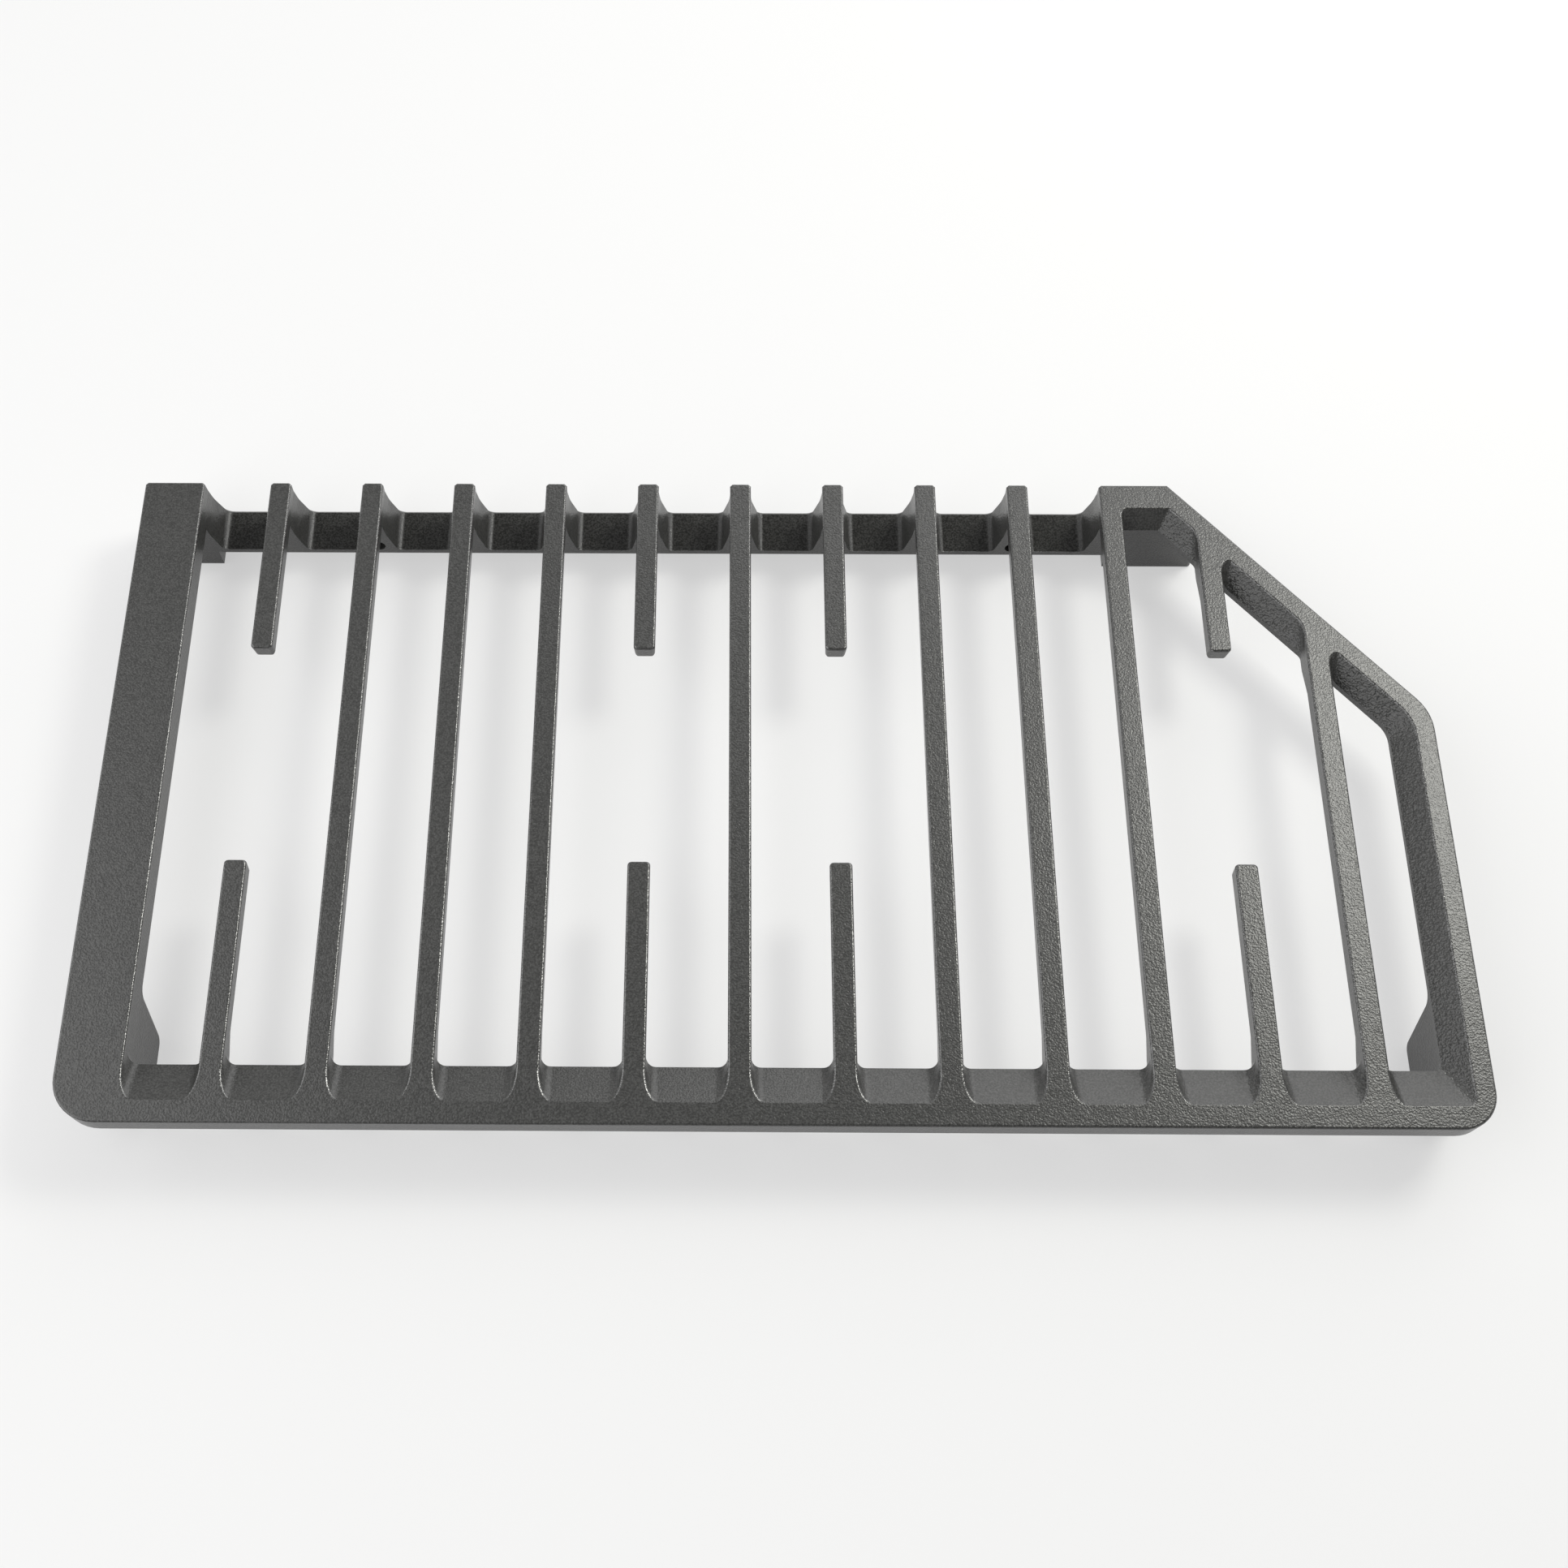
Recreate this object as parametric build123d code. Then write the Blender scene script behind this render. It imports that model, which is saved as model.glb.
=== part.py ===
from build123d import *
import os
from math import atan2, cos, degrees, radians, sin, tan

os.makedirs("parts", exist_ok=True)

# Cast-iron pan support for one half of a wide gas hob: a single casting.
# Parallel bars carry the pans and end in legs along the rear; a bevelled rim closes the front,
# the right side and the cut-off rear right corner; four feet stand on the hob.
# Millimetres, +X along the long side, +Y to the rear, +Z up, origin under the middle on the hob's surface.

# Plan sizes
pitch = 34.5
bar_count = 12
bar_width = 7.9
left_bar_width = 22.3
left_gap = 24.7
right_reach = 37.5
depth = 243.0
corner_flat = 21.8
corner_drop = 93.6
rear_finger = 70.2
front_finger = 91.1

# Bars that are left as two fingers over a burner, and legs with a blind hole, counted from the left
finger_bars = [0, bar_count // 2 - 2, bar_count // 2, bar_count - 2]
hole_legs = [1, bar_count - 4]

# Heights, all measured down from the top plane except the overall height
height = 33.2
bar_depth = 6.8
leg_drop = 5.0
leg_bend = 11.5
rim_depth = 9.0
slope_depth = 6.4
floor_depth = 22.2
rail_thickness = 3.2

# Widths of the rim's top strip and of its inner slopes, seen from above
rim_top = 6.8
rim_bevel = 6.4
right_bevel = 7.05
front_top = 7.5
front_slope = 13.3
corner_rim = 10.0
wall_thickness = 15.7

# Casting drafts in degrees
bar_draft = 3.0
leg_draft = 5.0
toe_draft = 14.5
rear_draft = 4.6
corner_draft = 3.9
tip_draft = 6.5
root_draft = 22.0
heel_draft = 20.0
foot_draft = 1.5

# Radii
edge_r = 0.8
tip_r = 1.4
flare_r = 4.0
pocket_r = 3.5
acute_r = 2.5
corner_r = 2.0
valley_r = 4.5
gap_r = 3.0
acute_gap_r = 1.2
turn_r = 10.8
notch_r = 3.0
bend_r = 20.0
left_corner_r = 15.0
right_corner_r = 12.5
side_corner_r = 18.5
rail_r = 1.5
foot_root_r = 5.0
heel_r = 3.5
foot_tip_r = 1.5

# Flats that break the lower edges of the bars, the legs' rear edges and the rear feet's soles
under_flat = 0.8
leg_flat = 0.9
sole_flat = 0.6

# Feet
front_foot_length = 25.0
front_foot_setback = 12.0
left_foot_width = 20.6
right_foot_width = 12.6
foot_inset = 1.0
corner_foot_start = 2.0

# Blind holes in the fronts of two rear legs
hole_diameter = 5.5
hole_depth = 8.0
hole_drop = 19.3

# Room that cutting shapes reach past what they cut, and depth to which joined shapes sink into each other
reach = 6.0
below = height + reach
bite = 0.6

# Layout
rail_depth = floor_depth + rail_thickness
corner_bar = bar_count - 3
rear_lean = tan(radians(rear_draft))
length = left_bar_width + left_gap + bar_width / 2 + (bar_count - 1) * pitch + right_reach
left_x = -length / 2
right_x = length / 2
front_y = -(depth + rear_lean * height) / 2
rear_y = front_y + depth
wall_y = rear_y - wall_thickness
slope_y = front_y + front_top
lip_y = slope_y + front_slope
left_inner_x = left_x + left_bar_width
bar_x = [left_inner_x + left_gap + bar_width / 2 + i * pitch for i in range(bar_count)]
lip_inset = rim_top + rim_bevel
right_lip_x = right_x - rim_top - right_bevel
half_bar = bar_width / 2
bar_slant = tan(radians(bar_draft))

# The cut-off corner: a straight outer line from the rear edge to the right side
cut_start = Vector(bar_x[corner_bar] + corner_flat, rear_y)
cut_end = Vector(right_x, rear_y - corner_drop)
cut_angle = atan2(cut_start.Y - cut_end.Y, cut_end.X - cut_start.X)
cut_inward = Vector(-sin(cut_angle), -cos(cut_angle))


def section(points, rounded=()):
    """Closed flat outline; rounded lists (index of a point, radius) pairs."""
    face = make_face(Polyline(*points, close=True))
    for index, radius in rounded:
        x, y = points[index]
        corner = face.vertices().sort_by_distance(Vector(x, y))[0]
        face = fillet(corner, radius)
    return face


def along_y(face, y0, y1):
    """Carries an outline drawn in X and Z from y0 to y1."""
    plane = Plane((0, y0, 0), x_dir=(1, 0, 0), z_dir=(0, -1, 0))
    return extrude(plane * face, amount=y1 - y0, dir=(0, 1, 0))


def along_x(face, x0, x1):
    """Carries an outline drawn in Y and Z from x0 to x1."""
    plane = Plane((x0, 0, 0), x_dir=(0, 1, 0), z_dir=(1, 0, 0))
    return extrude(plane * face, amount=x1 - x0)


def upright(face, z0, z1):
    """Carries an outline drawn in X and Y from z0 up to z1."""
    return extrude(Pos(0, 0, z0) * face, amount=z1 - z0)


def keep_side(solid, point, normal):
    """Cuts a solid by a plane and keeps the side that the normal points to."""
    return split(solid, bisect_by=Plane(point, z_dir=normal), keep=Keep.TOP)


def cut_line(offset):
    """A point on the line that runs this far inside the cut-off corner's outer line."""
    return cut_start + cut_inward * offset


def cut_line_y(offset, x):
    """Y of that line at a given X."""
    point = cut_line(offset)
    return point.Y - (x - point.X) * tan(cut_angle)


def along_cut(offset, z, inward, up):
    """Plane along the cut-off corner, this far inside it at height z; its normal has these two parts."""
    point = cut_line(offset)
    return (point.X, point.Y, z), (cut_inward.X * inward, cut_inward.Y * inward, up)


def left_side(x, slant=bar_slant):
    """Plane of a bar's right-hand side, which bounds the air on the air's left."""
    return (x, 0, 0), (1, 0, -slant)


def right_side(x, slant=bar_slant):
    """Plane of a bar's left-hand side, which bounds the air on the air's right."""
    return (x, 0, 0), (1, 0, slant)


def edges_between(solid, first, second):
    """Edges that lie on both of two planes, each given as a point and a direction across it."""
    found = []
    for edge in solid.edges():
        ends = [edge @ 0, edge @ 0.5, edge @ 1]
        gaps = []
        for point, normal in (first, second):
            across = Vector(*normal).normalized()
            gaps += [abs((end - Vector(*point)).dot(across)) for end in ends]
        if max(gaps) < 0.002:
            found.append(edge)
    return found


def edges_on(solid, plane):
    """Edges that lie on one plane."""
    return edges_between(solid, plane, plane)


def round_corners(solid, corners):
    """Rounds the corner of each pair of planes, given as (plane, plane, radius)."""
    for first, second, radius in corners:
        solid = fillet(edges_between(solid, first, second), radius)
    return solid


# Planes that bound the casting and the air in it
lean_out = tan(radians(corner_draft))
root_lean = tan(radians(root_draft))
tip_lean = tan(radians(tip_draft))
top_plane = ((0, 0, 0), (0, 0, 1))
sole_plane = ((0, 0, -height), (0, 0, 1))
rear_plane = ((0, rear_y, 0), (0, 1, rear_lean))
wall_plane = ((0, wall_y, 0), (0, 1, 0))
cut_face = along_cut(0, 0, 1, 0)
foot_face = along_cut(0, -rim_depth, 1, -lean_out)
front_lip = ((0, lip_y, 0), (0, 1, 0))
cut_lip = along_cut(lip_inset, 0, 1, 0)
right_lip = right_side(right_lip_x, 0)
front_plane = ((0, slope_y, 0), (0, slope_depth, front_slope))
corner_plane = ((0, rear_y - corner_rim, 0), (0, -slope_depth, wall_thickness - corner_rim))
right_plane = ((right_x - rim_top, 0, 0), (-slope_depth, 0, rim_bevel))
cut_plane = along_cut(rim_top, 0, slope_depth, rim_bevel)
front_root = ((0, lip_y + gap_r + bite, -rim_depth), (0, root_lean, -1))
cut_root = along_cut(lip_inset + gap_r + bite, -rim_depth, root_lean, -1)


def between_sides(left, right, y0, y1, z0, left_slant=bar_slant, right_slant=bar_slant):
    """Air between two drafted sides, whose X is given in the top plane, from z0 up past that plane."""
    outline = [
        (left + reach * left_slant, reach),
        (right - reach * right_slant, reach),
        (right - z0 * right_slant, z0),
        (left + z0 * left_slant, z0),
    ]
    return along_y(section(outline), y0, y1)


def under_bar(x):
    """Air under one bar: it breaks the bar's lower edges, and rises from the rim by a ramp."""
    flat = half_bar - (bar_depth - under_flat) * bar_slant - under_flat
    ear = under_flat + bite
    outline = [
        (x - flat, -bar_depth),
        (x + flat, -bar_depth),
        (x + flat + ear, -bar_depth + ear),
        (x + flat + ear, -below),
        (x - flat - ear, -below),
        (x - flat - ear, -bar_depth + ear),
    ]
    return keep_side(along_y(section(outline), lip_y, wall_y), *front_root)


def notch_section(left, right, left_slant):
    """Outline of the notch between two rear legs, which widen towards the rail they stand on."""
    left_waist = left - leg_drop * left_slant
    right_waist = right + leg_drop * bar_slant
    shin = (leg_bend - leg_drop) * tan(radians(leg_draft))
    toe = shin + (floor_depth - leg_bend) * tan(radians(toe_draft))
    outline = [
        (left + reach * left_slant, reach),
        (right - reach * bar_slant, reach),
        (right_waist, -leg_drop),
        (right_waist - shin, -leg_bend),
        (right_waist - toe, -floor_depth),
        (left_waist + toe, -floor_depth),
        (left_waist + shin, -leg_bend),
        (left_waist, -leg_drop),
    ]
    return section(outline, [(3, bend_r), (4, notch_r), (5, notch_r), (6, bend_r)])


def hollow(first, second, radius):
    """Air on the inner side of two planes, with the corner where they meet rounded."""
    air = keep_side(keep_side(Box(2 * length, 2 * length, 2 * length), *first), *second)
    return round_corners(air, [(first, second, radius)])


def front_wedge(left, right, left_slant):
    """Air over the front slope between two bars, with a flare up each bar's side."""
    air = between_sides(left, right, slope_y - reach, lip_y + reach, -2 * rim_depth, left_slant)
    air = keep_side(air, *front_plane)
    return round_corners(
        air,
        [
            (front_plane, left_side(left, left_slant), flare_r),
            (front_plane, right_side(right), flare_r),
        ],
    )


# The plate that the bars and the rim are cut from
plate_outline = section(
    [
        (left_x, rear_y),
        (cut_start.X, cut_start.Y),
        (cut_end.X, cut_end.Y),
        (right_x, front_y),
        (left_x, front_y),
    ],
    [(2, side_corner_r), (3, right_corner_r), (4, left_corner_r)],
)
casting = upright(plate_outline, -rim_depth, 0)

# The rear wall, which becomes legs on a rail; its rear face leans outwards going down
wall_outline = section(
    [
        (rear_y, 0),
        (rear_y + rail_depth * rear_lean, -rail_depth),
        (wall_y, -rail_depth),
        (wall_y, 0),
    ],
    [(2, rail_r)],
)
wall = keep_side(along_x(wall_outline, left_x, right_x), *cut_face)

# Rear feet, standing on under the wall
foot_outline = section(
    [
        (rear_y + rim_depth * rear_lean, -rim_depth),
        (rear_y + height * rear_lean, -height),
        (wall_y, -height),
        (wall_y, -rim_depth),
    ],
)
left_rear_foot = along_x(foot_outline, left_x, left_inner_x + foot_inset)
right_rear_foot = along_x(foot_outline, bar_x[corner_bar] + corner_foot_start, right_x)
right_rear_foot = keep_side(right_rear_foot, *foot_face)
right_rear_foot = round_corners(right_rear_foot, [(wall_plane, foot_face, foot_tip_r)])
casting += wall
casting += [chamfer(edges_on(foot, sole_plane), sole_flat) for foot in (left_rear_foot, right_rear_foot)]

# Air straight down between the bars, with rounded corners at the rim
sides = [(left_inner_x, bar_x[0] - half_bar)]
sides += [(bar_x[i] + half_bar, bar_x[i + 1] - half_bar) for i in range(bar_count - 1)]
left_slants = [0] + [bar_slant] * (bar_count - 1)
gaps = []
for i, (left, right) in enumerate(sides):
    air = between_sides(left, right, lip_y, wall_y, -below, left_slants[i])
    corners = [
        (front_lip, left_side(left, left_slants[i]), gap_r),
        (front_lip, right_side(right), gap_r),
    ]
    if i > corner_bar:
        air = keep_side(air, *cut_lip)
        corners.append((cut_lip, right_side(right), gap_r))
    if i > corner_bar + 1:
        corners.append((cut_lip, left_side(left), acute_gap_r))
    gaps.append(round_corners(air, corners))
last_left = bar_x[-1] + half_bar
last_air = between_sides(last_left, right_lip_x, lip_y, wall_y, -below, right_slant=0)
last_air = keep_side(last_air, *cut_lip)
last_air = round_corners(
    last_air,
    [
        (front_lip, left_side(last_left), gap_r),
        (front_lip, right_lip, gap_r),
        (cut_lip, right_lip, turn_r),
        (cut_lip, left_side(last_left), acute_gap_r),
    ],
)
casting = casting - gaps - last_air

# Air under the bars
lows = [under_bar(x) for x in bar_x]
lows[corner_bar + 1 :] = [keep_side(low, *cut_root) for low in lows[corner_bar + 1 :]]
casting = casting - lows

# Notches between the rear legs
leg_sides = list(zip(sides, left_slants))[: corner_bar + 1]
casting = casting - [
    along_y(notch_section(left, right, slant), wall_y - bite, rear_y + reach)
    for (left, right), slant in leg_sides
]

# The front slope with its flares
casting = casting - [front_wedge(left, right, slant) for (left, right), slant in zip(sides, left_slants)]

# Pockets along the cut-off corner and the right side, with bevelled far sides
first_left, first_right = sides[corner_bar + 1]
first_y = cut_line_y(lip_inset, first_right) - 5 * reach
first_pocket = between_sides(first_left, first_right, first_y, rear_y, -2 * rim_depth)
first_pocket = keep_side(keep_side(first_pocket, *corner_plane), *cut_plane)
first_pocket = round_corners(
    first_pocket,
    [
        (corner_plane, left_side(first_left), corner_r),
        (corner_plane, cut_plane, corner_r),
        (cut_plane, right_side(first_right), pocket_r),
    ],
)

second_left, second_right = sides[corner_bar + 2]
second_y = cut_line_y(lip_inset, second_right) - 5 * reach
second_pocket = between_sides(second_left, second_right, second_y, rear_y, -2 * rim_depth)
second_pocket = second_pocket & hollow(cut_plane, left_side(second_left), acute_r)
second_pocket = round_corners(second_pocket, [(cut_plane, right_side(second_right), pocket_r)])

start_x = last_left - 3 * reach
deep = rim_depth + bite
deep_inset = rim_top + rim_bevel * deep / slope_depth
deep_x = right_x - deep_inset
last_outline = section(
    [
        (start_x, front_y),
        (deep_x, front_y),
        (deep_x, cut_line_y(deep_inset, deep_x)),
        (start_x, cut_line_y(deep_inset, start_x)),
    ],
    [(2, turn_r + lip_inset - deep_inset)],
)
last_pocket = extrude(
    Pos(0, 0, -deep) * last_outline,
    amount=deep + reach,
    taper=-degrees(atan2(rim_bevel, slope_depth)),
)
last_pocket = keep_side(keep_side(last_pocket, *front_plane), *left_side(last_left))
last_pocket = round_corners(
    last_pocket,
    [
        (front_plane, right_plane, valley_r),
        (front_plane, left_side(last_left), flare_r),
    ],
)
last_pocket = last_pocket & hollow(cut_plane, left_side(last_left), acute_r)
casting = casting - [first_pocket, second_pocket, last_pocket]

# Front feet, under the left bar and under the right rim
foot_front = front_y + front_foot_setback
foot_rear = foot_front + front_foot_length
heel_top = foot_rear + (height - rim_depth) * tan(radians(heel_draft))
front_outline = section(
    [
        (foot_front, -rim_depth + bite),
        (foot_front, -height),
        (foot_rear, -height),
        (heel_top, -rim_depth),
        (heel_top + 2 * foot_root_r, -rim_depth),
        (heel_top + 2 * foot_root_r, -rim_depth + bite),
    ],
    [(2, heel_r), (3, foot_root_r)],
)
foot_lean = tan(radians(foot_draft))
left_foot = along_x(front_outline, left_inner_x - left_foot_width, left_inner_x + reach)
left_foot = keep_side(left_foot, (left_inner_x, 0, -rim_depth), (-1, 0, -foot_lean))
right_foot = along_x(front_outline, right_lip_x - reach, right_lip_x + right_foot_width)
right_foot = keep_side(right_foot, (right_lip_x, 0, -rim_depth), (1, 0, -foot_lean))
casting += [left_foot, right_foot]

# Room over each burner, where a bar is left as a rear and a front finger
tip_front_y = front_y + front_finger
tip_rear_y = rear_y - rear_finger
room_outline = section(
    [
        (tip_front_y + reach * tip_lean, reach),
        (tip_rear_y - reach * tip_lean, reach),
        (tip_rear_y + below * tip_lean, -below),
        (tip_front_y - below * tip_lean, -below),
    ]
)
half_room = (pitch - half_bar) / 2
casting = casting - [
    along_x(room_outline, bar_x[i] - half_room, bar_x[i] + half_room) for i in finger_bars
]

# Blind holes in the fronts of two legs
casting = casting - [
    Pos(bar_x[i], wall_y + hole_depth / 2, -hole_drop)
    * Rot(90, 0, 0)
    * Cylinder(hole_diameter / 2, hole_depth)
    for i in hole_legs
]

# Broken edges of the legs at the rear
leg_edges = [
    edge
    for edge in edges_on(casting, rear_plane)
    if -floor_depth - 0.01 < edge.center().Z < -0.01 and edge.center().X < bar_x[corner_bar]
]
casting = chamfer(leg_edges, leg_flat)

# Rounded finger tips
for tip_plane in (
    ((0, tip_front_y, 0), (0, 1, -tip_lean)),
    ((0, tip_rear_y, 0), (0, 1, tip_lean)),
):
    tip_edges = [
        edge for edge in edges_on(casting, tip_plane) if edge.bounding_box().size.Z > 2 * under_flat
    ]
    casting = fillet(tip_edges, tip_r)

# Every edge of the top face
casting = fillet(edges_on(casting, top_plane), edge_r)

# Stand the casting on its feet, over the origin
box = casting.bounding_box()
casting = Pos(-box.center().X, -box.center().Y, height) * casting
casting.label = "pan_support"
export_step(casting, "parts/pan_support.step")
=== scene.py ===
import math

import bpy
from mathutils import Matrix, Vector


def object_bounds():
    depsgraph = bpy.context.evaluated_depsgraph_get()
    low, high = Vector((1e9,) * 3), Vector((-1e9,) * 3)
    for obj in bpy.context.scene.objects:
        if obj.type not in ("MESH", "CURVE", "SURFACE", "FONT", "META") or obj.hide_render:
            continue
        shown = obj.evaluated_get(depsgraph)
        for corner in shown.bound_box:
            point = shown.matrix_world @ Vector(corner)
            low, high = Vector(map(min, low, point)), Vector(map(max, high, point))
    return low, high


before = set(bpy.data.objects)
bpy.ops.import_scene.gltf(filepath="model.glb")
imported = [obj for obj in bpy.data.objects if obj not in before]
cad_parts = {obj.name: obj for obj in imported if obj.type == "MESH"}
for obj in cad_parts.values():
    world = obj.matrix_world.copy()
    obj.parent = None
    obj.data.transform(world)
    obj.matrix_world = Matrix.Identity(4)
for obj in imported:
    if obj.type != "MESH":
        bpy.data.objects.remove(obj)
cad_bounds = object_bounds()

# Metres, with the casting standing on z = 0
MM = 0.001
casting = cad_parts["pan_support"]
right_x, rear_y, top_z = cad_bounds[1]


def linear(hex_colour):
    """Linear colour of an sRGB hex colour."""
    out = []
    for i in (1, 3, 5):
        c = int(hex_colour[i : i + 2], 16) / 255
        out.append(c / 12.92 if c <= 0.04045 else ((c + 0.055) / 1.055) ** 2.4)
    return (*out, 1.0)


def add(tree, kind, links=None, **values):
    """Adds a shader node, sets its sockets or settings by name, and links its sockets to other outputs."""
    node = tree.nodes.new(kind)
    for name, value in values.items():
        if hasattr(node, name):
            setattr(node, name, value)
        else:
            node.inputs[name.replace("_", " ")].default_value = value
    for socket, output in (links or {}).items():
        tree.links.new(output, node.inputs[socket])
    return node


def material(name):
    """A new material without nodes, and its node tree."""
    made = bpy.data.materials.new(name)
    made.use_nodes = True
    made.node_tree.nodes.clear()
    return made, made.node_tree


# Cast iron under a thin satin enamel: dark charcoal, with the grain of the sand mould left in the glaze, so
# that a lamp's reflection breaks into fine glints, and a little paler where the glaze is thin over a grain.
# The grain is drawn at its real size, under a millimetre, over a faint swell of the whole surface.
GRAIN, GRAIN_DEPTH = 0.60 * MM, 0.125 * MM
SWELL, SWELL_DEPTH = 6.0 * MM, 0.06 * MM
GLAZE_TINTS = (0.35, "#2c2c2b"), (0.70, "#464645")
GLAZE_IOR = 1.55
GLAZE_GLOSS = 0.5
GLAZE_ROUGHNESS = 0.31

iron, tree = material("enamelled_iron")
coordinates = add(tree, "ShaderNodeTexCoord").outputs
place = coordinates["Object"]
spot = add(tree, "ShaderNodeSeparateXYZ", {"Vector": place}).outputs
facing = add(tree, "ShaderNodeSeparateXYZ", {"Vector": coordinates["Normal"]}).outputs
grain = add(tree, "ShaderNodeTexNoise", {"Vector": place}, Scale=1 / GRAIN, Detail=1.0, Roughness=0.4)
swell = add(tree, "ShaderNodeTexNoise", {"Vector": place}, Scale=1 / SWELL, Detail=1.0)
tint = add(tree, "ShaderNodeValToRGB", {"Fac": grain.outputs["Fac"]})
for stop, (position, colour) in zip(tint.color_ramp.elements, GLAZE_TINTS):
    stop.position = position
    stop.color = linear(colour)

# The bevels of the right rim and the cut-off corner are left as cast, with a coarser and deeper grain that
# makes them sparkle. They face left and upwards. A pair of values says where a change starts and ends.
BEVEL_GRAIN, BEVEL_GRAIN_DEPTH = 1.2 * MM, 0.36 * MM
BEVEL_X = right_x - 108.0 * MM, right_x - 105.0 * MM
BEVEL_LEFTWARD = -0.15, -0.35
BEVEL_UPWARD = 0.25, 0.40
leftward = add(
    tree, "ShaderNodeMapRange", {"Value": facing["X"]}, From_Min=BEVEL_LEFTWARD[0], From_Max=BEVEL_LEFTWARD[1]
)
upward = add(
    tree, "ShaderNodeMapRange", {"Value": facing["Z"]}, From_Min=BEVEL_UPWARD[0], From_Max=BEVEL_UPWARD[1]
)
rimward = add(tree, "ShaderNodeMapRange", {"Value": spot["X"]}, From_Min=BEVEL_X[0], From_Max=BEVEL_X[1])
tilted = add(tree, "ShaderNodeMath", {0: leftward.outputs[0], 1: upward.outputs[0]}, operation="MULTIPLY")
bevel = add(tree, "ShaderNodeMath", {0: tilted.outputs[0], 1: rimward.outputs[0]}, operation="MULTIPLY")
lump_depth = add(tree, "ShaderNodeMapRange", {"Value": bevel.outputs[0]}, To_Max=BEVEL_GRAIN_DEPTH)
lumps = add(tree, "ShaderNodeTexNoise", {"Vector": place}, Scale=1 / BEVEL_GRAIN, Detail=1.0)

# Each roughness lies over the one before it: swell, bevel grain, fine grain
swelled = add(tree, "ShaderNodeBump", {"Height": swell.outputs["Fac"]}, Strength=1.0, Distance=SWELL_DEPTH)
lumpy = add(
    tree, "ShaderNodeBump",
    {"Height": lumps.outputs["Fac"], "Normal": swelled.outputs["Normal"], "Distance": lump_depth.outputs[0]},
    Strength=1.0,
)
grained = add(
    tree, "ShaderNodeBump", {"Height": grain.outputs["Fac"], "Normal": lumpy.outputs["Normal"]},
    Strength=1.0, Distance=GRAIN_DEPTH,
)

# In the troughs between the rear legs, behind the front of the rear wall, the gloss is turned off, which
# makes their level floors look nearly black. This is painted shade: the glaze there is the same as elsewhere.
WALL_Y = rear_y - 18.3 * MM, rear_y - 18.0 * MM
FLOOR_Z = top_z - 20.2 * MM, top_z - 22.0 * MM
FLOOR_UPWARD = 0.90, 0.99
TROUGH_SHADE_GLOSS = 0.0
rearward = add(tree, "ShaderNodeMapRange", {"Value": spot["Y"]}, From_Min=WALL_Y[0], From_Max=WALL_Y[1])
lowered = add(tree, "ShaderNodeMapRange", {"Value": spot["Z"]}, From_Min=FLOOR_Z[0], From_Max=FLOOR_Z[1])
flat = add(
    tree, "ShaderNodeMapRange", {"Value": facing["Z"]}, From_Min=FLOOR_UPWARD[0], From_Max=FLOOR_UPWARD[1]
)
behind = add(tree, "ShaderNodeMath", {0: rearward.outputs[0], 1: lowered.outputs[0]}, operation="MULTIPLY")
trough = add(tree, "ShaderNodeMath", {0: behind.outputs[0], 1: flat.outputs[0]}, operation="MULTIPLY")
# Painted shade: the trough floors lose their gloss
trough_shaded_gloss = add(tree, "ShaderNodeMapRange", {"Value": trough.outputs[0]}, To_Min=GLAZE_GLOSS, To_Max=TROUGH_SHADE_GLOSS)

# Over the rounded top edges that face sideways the glaze is smooth, so that they catch the lamps as thin
# bright lines. A spot is on such an edge where its drop below the top fits the way the edge faces there.
EDGE_R = 0.8 * MM
EDGE_MISFIT = 0.20 * MM, 0.10 * MM
EDGE_SIDEWAYS = 0.12, 0.24
EDGE_ADDED_GLOSS = 0.5
EDGE_ROUGHNESS = 0.22
drop = add(tree, "ShaderNodeMapRange", {"Value": spot["Z"]}, From_Min=top_z, From_Max=0.0, To_Max=top_z)
roll = add(tree, "ShaderNodeMapRange", {"Value": facing["Z"]}, From_Min=1.0, From_Max=0.0, To_Max=EDGE_R)
apart = add(tree, "ShaderNodeMath", {0: drop.outputs[0], 1: roll.outputs[0]}, operation="SUBTRACT")
misfit = add(tree, "ShaderNodeMath", {0: apart.outputs[0]}, operation="ABSOLUTE")
rounded = add(
    tree, "ShaderNodeMapRange", {"Value": misfit.outputs[0]}, From_Min=EDGE_MISFIT[0], From_Max=EDGE_MISFIT[1]
)
lean = add(tree, "ShaderNodeMath", {0: facing["X"]}, operation="ABSOLUTE")
sideways = add(
    tree, "ShaderNodeMapRange", {"Value": lean.outputs[0]},
    From_Min=EDGE_SIDEWAYS[0], From_Max=EDGE_SIDEWAYS[1],
)
edge = add(tree, "ShaderNodeMath", {0: rounded.outputs[0], 1: sideways.outputs[0]}, operation="MULTIPLY")
shine = add(tree, "ShaderNodeMapRange", {"Value": edge.outputs[0]}, To_Max=EDGE_ADDED_GLOSS)
gloss = add(tree, "ShaderNodeMath", {0: trough_shaded_gloss.outputs[0], 1: shine.outputs[0]}, operation="ADD")
roughness = add(
    tree, "ShaderNodeMapRange", {"Value": edge.outputs[0]}, To_Min=GLAZE_ROUGHNESS, To_Max=EDGE_ROUGHNESS
)

enamel = add(
    tree, "ShaderNodeBsdfPrincipled",
    {
        "Base Color": tint.outputs["Color"],
        "Normal": grained.outputs["Normal"],
        "Specular IOR Level": gloss.outputs[0],
        "Roughness": roughness.outputs[0],
    },
    IOR=GLAZE_IOR,
)
add(tree, "ShaderNodeOutputMaterial", {"Surface": enamel.outputs["BSDF"]})
casting.data.materials.clear()
casting.data.materials.append(iron)

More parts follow.
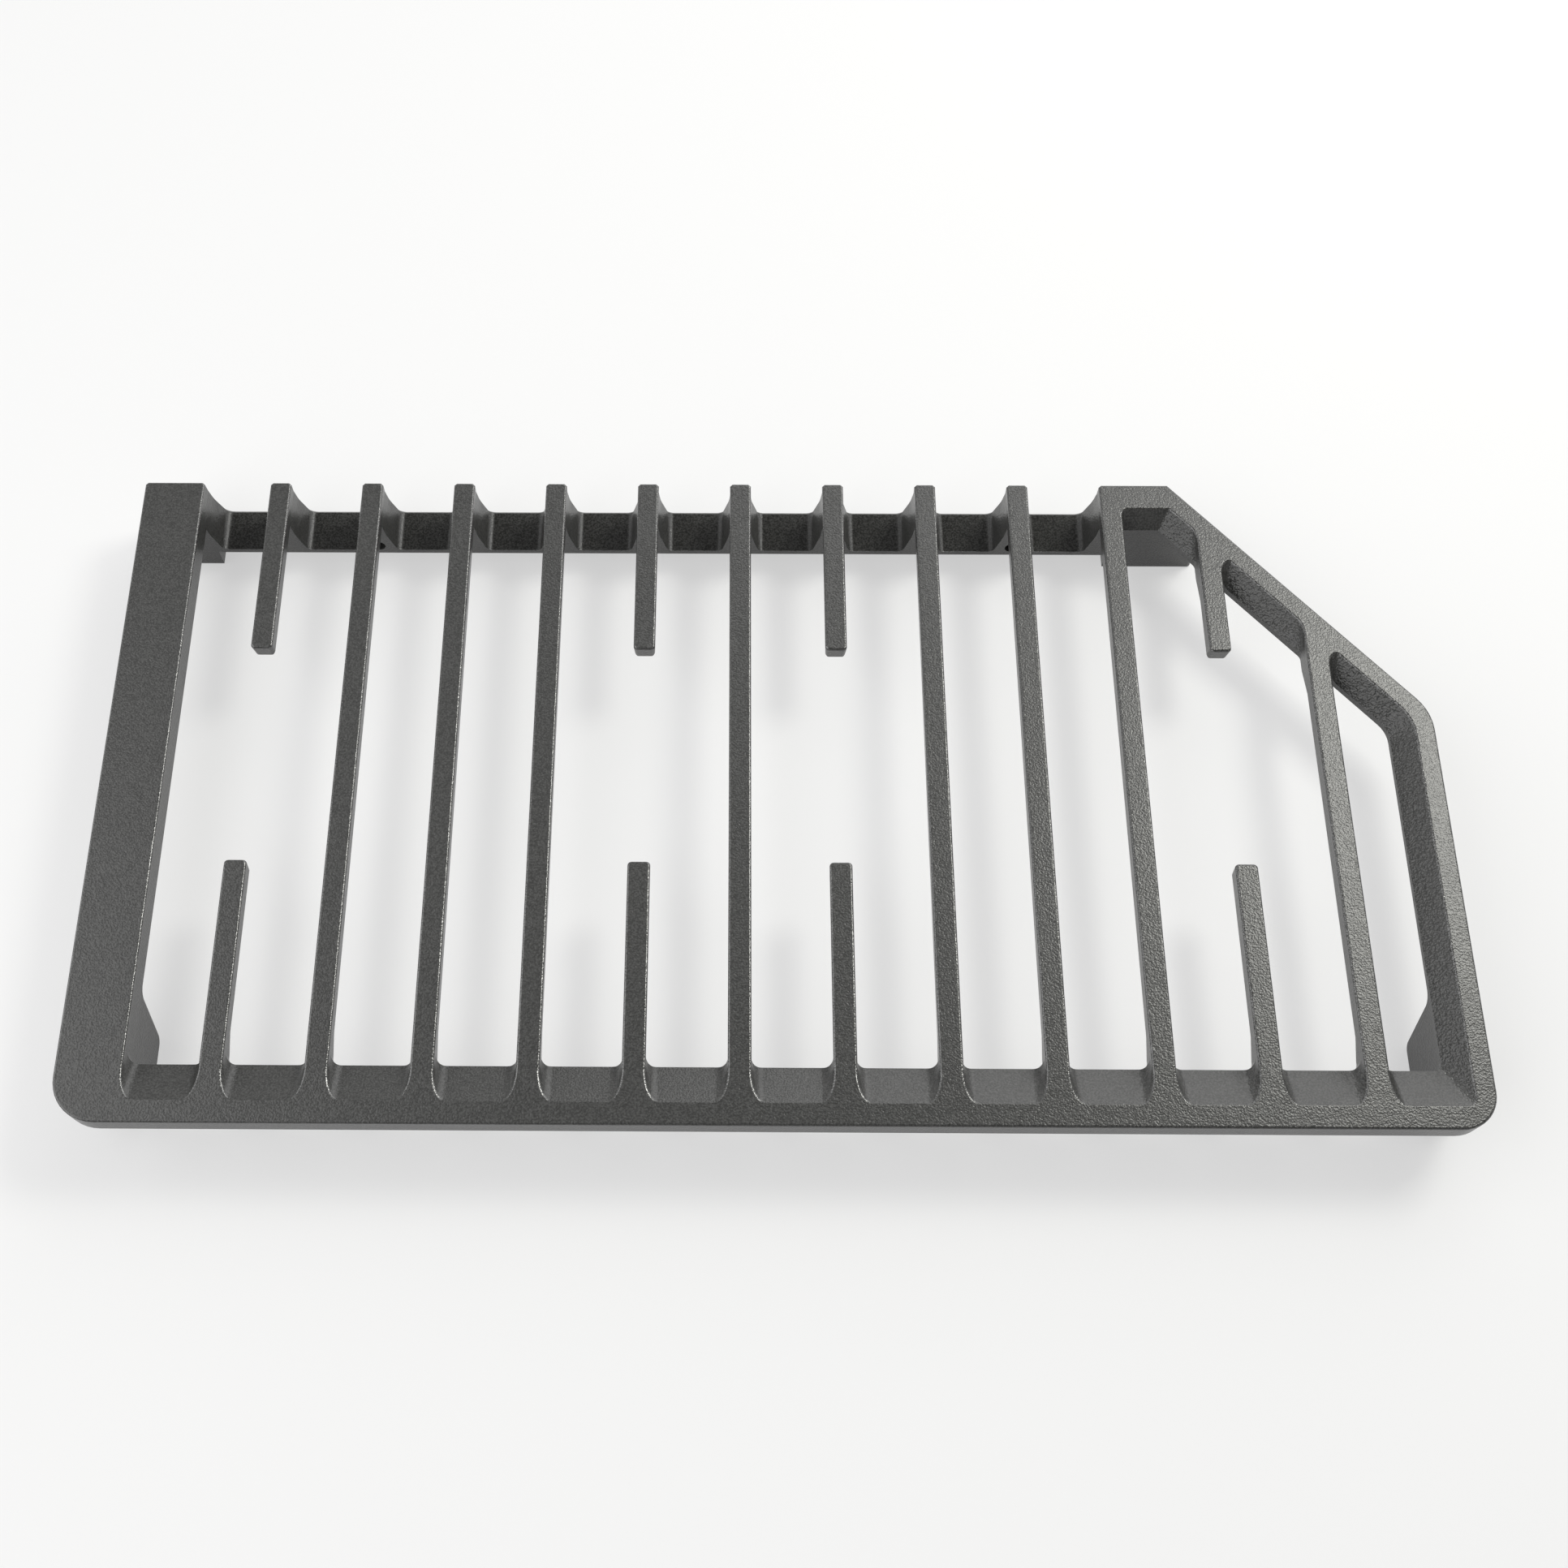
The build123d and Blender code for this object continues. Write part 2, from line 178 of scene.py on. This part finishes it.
# Matt white paper under the casting: a plain pale ground without gloss. The camera and reflections see it
# lifted towards white, with the shadow kept.
PAPER_SIZE = 6.0
PAPER_LIFT = 0.50
paper, tree = material("white_paper")
sheet = add(tree, "ShaderNodeBsdfDiffuse", Color=linear("#e2e2e2"))
white = add(tree, "ShaderNodeEmission", Color=linear("#ffffff"), Strength=1.0)
path = add(tree, "ShaderNodeLightPath").outputs
mirrored = add(
    tree, "ShaderNodeMath", {0: path["Is Glossy Ray"], 1: path["Is Transmission Ray"]}, operation="MAXIMUM"
)
seen = add(tree, "ShaderNodeMath", {0: path["Is Camera Ray"], 1: mirrored.outputs[0]}, operation="MAXIMUM")
lift = add(tree, "ShaderNodeMapRange", {"Value": seen.outputs[0]}, To_Max=PAPER_LIFT)
lit = add(tree, "ShaderNodeMixShader", {0: lift.outputs[0], 1: sheet.outputs[0], 2: white.outputs[0]})
add(tree, "ShaderNodeOutputMaterial", {"Surface": lit.outputs[0]})
bpy.ops.mesh.primitive_plane_add(size=PAPER_SIZE, location=(0, 0, 0))
floor = bpy.context.object
floor.name = "paper_floor"
floor.data.materials.append(paper)

# A studio with a pale band of wall all round, a pale rear half above it and a dark front half behind the
# camera. The top of the band and the change from front to rear are parts of a direction of length 1.
BAND_LEVEL, REAR_LEVEL, FRONT_LEVEL = 0.75, 0.55, 0.12
BAND_TOP = 0.20, 0.36
FRONT_TO_REAR = 0.0, 0.55
world = bpy.data.worlds.new("studio")
bpy.context.scene.world = world
world.use_nodes = True
tree = world.node_tree
tree.nodes.clear()
outward = add(tree, "ShaderNodeTexCoord").outputs["Generated"]
direction = add(tree, "ShaderNodeSeparateXYZ", {"Vector": outward}).outputs
above = add(
    tree, "ShaderNodeMapRange", {"Value": direction["Y"]},
    From_Min=FRONT_TO_REAR[0], From_Max=FRONT_TO_REAR[1], To_Min=FRONT_LEVEL, To_Max=REAR_LEVEL,
)
raised = add(
    tree, "ShaderNodeMapRange", {"Value": direction["Z"]}, From_Min=BAND_TOP[0], From_Max=BAND_TOP[1]
)
level = add(
    tree, "ShaderNodeMix", {"Factor": raised.outputs["Result"], "B": above.outputs["Result"]}, A=BAND_LEVEL
)
room = add(tree, "ShaderNodeBackground", {"Strength": level.outputs["Result"]}, Color=linear("#ffffff"))
add(tree, "ShaderNodeOutputWorld", {"Surface": room.outputs["Background"]})

LAMP_AWAY = 1.3


def softbox(name, azimuth, elevation, width, height, watts, colour="#ffffff"):
    """A rectangular studio lamp LAMP_AWAY from the casting, facing it; azimuth in degrees from +X to +Y."""
    turn, rise = math.radians(azimuth), math.radians(elevation)
    towards = Vector((math.cos(rise) * math.cos(turn), math.cos(rise) * math.sin(turn), math.sin(rise)))
    lamp = bpy.data.lights.new(name, "AREA")
    lamp.shape = "RECTANGLE"
    lamp.size = width
    lamp.size_y = height
    lamp.energy = watts
    lamp.color = linear(colour)[:3]
    holder = bpy.data.objects.new(name, lamp)
    holder.location = towards * LAMP_AWAY
    holder.rotation_euler = (-towards).to_track_quat("-Z", "Y").to_euler()
    bpy.context.scene.collection.objects.link(holder)


softbox("softbox_right", azimuth=33, elevation=51, width=0.42, height=0.38, watts=8.0, colour="#fffff8")
softbox("softbox_rear", azimuth=76, elevation=46, width=0.80, height=0.40, watts=1.9)
softbox("softbox_left", azimuth=195, elevation=44, width=1.60, height=1.24, watts=13.2)
softbox("strip_rear", azimuth=65, elevation=20, width=1.17, height=0.70, watts=4.0)

# Camera: its place and turn were worked out from the straight edges of the bars.
# Pitch is downwards from level, yaw turns it left, roll tips it clockwise, all in radians.
CAMERA_PLACE = Vector((-14.565, -260.50, 613.30)) * MM
PITCH, YAW, ROLL = 1.152872, 0.017109, 0.011353
PICTURE_PIXELS = 1932.0
FOCAL_PIXELS = 2250.0
SHIFT_PIXELS = 84.13
SENSOR_WIDTH = 36.0

level_right = Vector((math.cos(YAW), math.sin(YAW), 0))
level_ahead = Vector((-math.sin(YAW), math.cos(YAW), 0))
ahead = level_ahead * math.cos(PITCH) + Vector((0, 0, -math.sin(PITCH)))
level_down = level_ahead * -math.sin(PITCH) + Vector((0, 0, -math.cos(PITCH)))
right = level_right * math.cos(ROLL) + level_down * math.sin(ROLL)
down = level_right * -math.sin(ROLL) + level_down * math.cos(ROLL)
lens = bpy.data.cameras.new("camera")
lens.sensor_width = SENSOR_WIDTH
lens.lens = SENSOR_WIDTH * FOCAL_PIXELS / PICTURE_PIXELS
lens.shift_x = SHIFT_PIXELS / PICTURE_PIXELS
camera = bpy.data.objects.new("camera", lens)
camera_turn = Matrix((right, -down, -ahead)).transposed().to_4x4()
camera.matrix_world = Matrix.Translation(CAMERA_PLACE) @ camera_turn
bpy.context.scene.collection.objects.link(camera)
bpy.context.scene.camera = camera
bpy.context.scene.view_settings.view_transform = "Standard"
